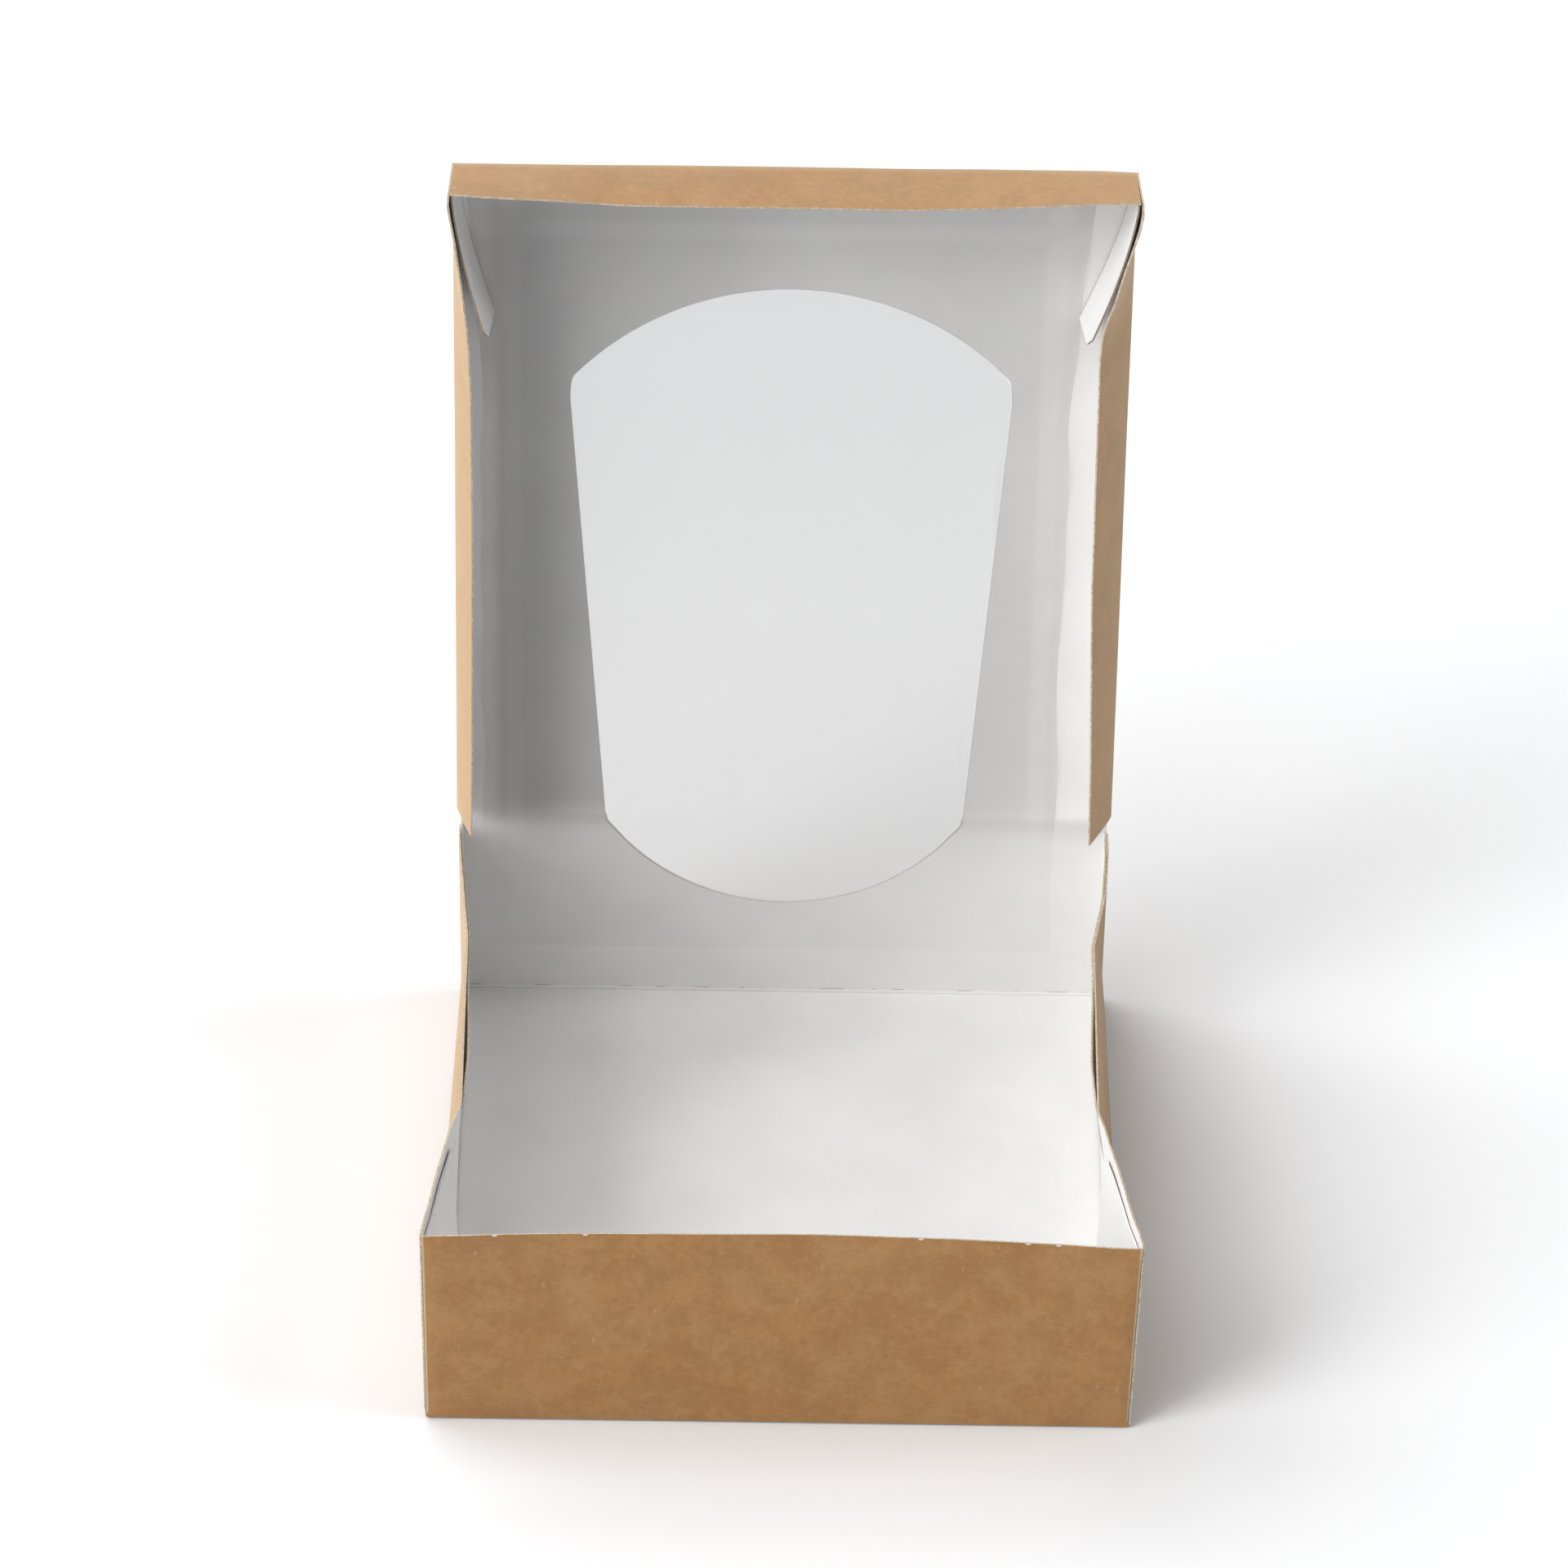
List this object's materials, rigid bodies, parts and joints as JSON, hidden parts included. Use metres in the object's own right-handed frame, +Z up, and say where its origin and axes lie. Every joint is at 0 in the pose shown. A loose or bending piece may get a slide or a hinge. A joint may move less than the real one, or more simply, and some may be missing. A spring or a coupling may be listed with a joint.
{
  "type": "takeaway box",
  "caption": "Shallow rectangular takeaway box of folded kraft board, with a hinged flap lid and a clear film window that runs over the hinge crease.",
  "frame": {"origin": "middle of the tray's flat underside", "axes": "+Z up from the table, -Y towards the front wall of the tray, +X to the right when the box is seen from its front"},
  "size_m": [0.1522, 0.176, 0.2102],
  "materials": {
    "board": "matte",
    "film": "gloss"
  },
  "bodies": {
    "tray": {"tray": "board", "back_window_film": "film"},
    "lid": {"lid": "board", "lid_window_film": "film"}
  },
  "joints": [
    {"name": "lid_hinge", "type": "hinge", "parent": "tray", "child": "lid", "pos_m": [0, 0.0788, 0.0505], "axis": [-1, 0, 0], "range_deg": [-96.5, 83.5]}
  ]
}
